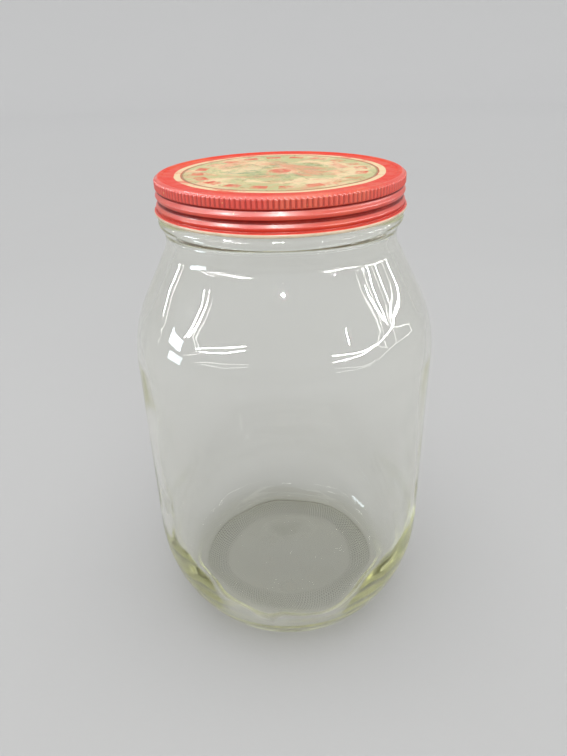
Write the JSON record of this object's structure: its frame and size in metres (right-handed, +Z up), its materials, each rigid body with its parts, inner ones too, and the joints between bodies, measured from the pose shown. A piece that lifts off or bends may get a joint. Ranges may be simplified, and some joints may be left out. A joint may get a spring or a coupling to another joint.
{
  "type": "coffee jar",
  "caption": "Clear glass jar with a rounded shoulder and heel and a knurled red screw lid of painted tinplate; empty, for storing ground coffee.",
  "frame": {"origin": "centre of the ring that the jar stands on", "axes": "+Z up the jar's axis, towards the lid"},
  "size_m": [0.1128, 0.1128, 0.18],
  "materials": {
    "clear_glass": "clear, smooth, faintly green in thick places",
    "red_enamel": "semi-gloss printed tinplate, worn"
  },
  "bodies": {
    "root": {"jar": "clear_glass", "lid": "red_enamel"}
  },
  "joints": []
}
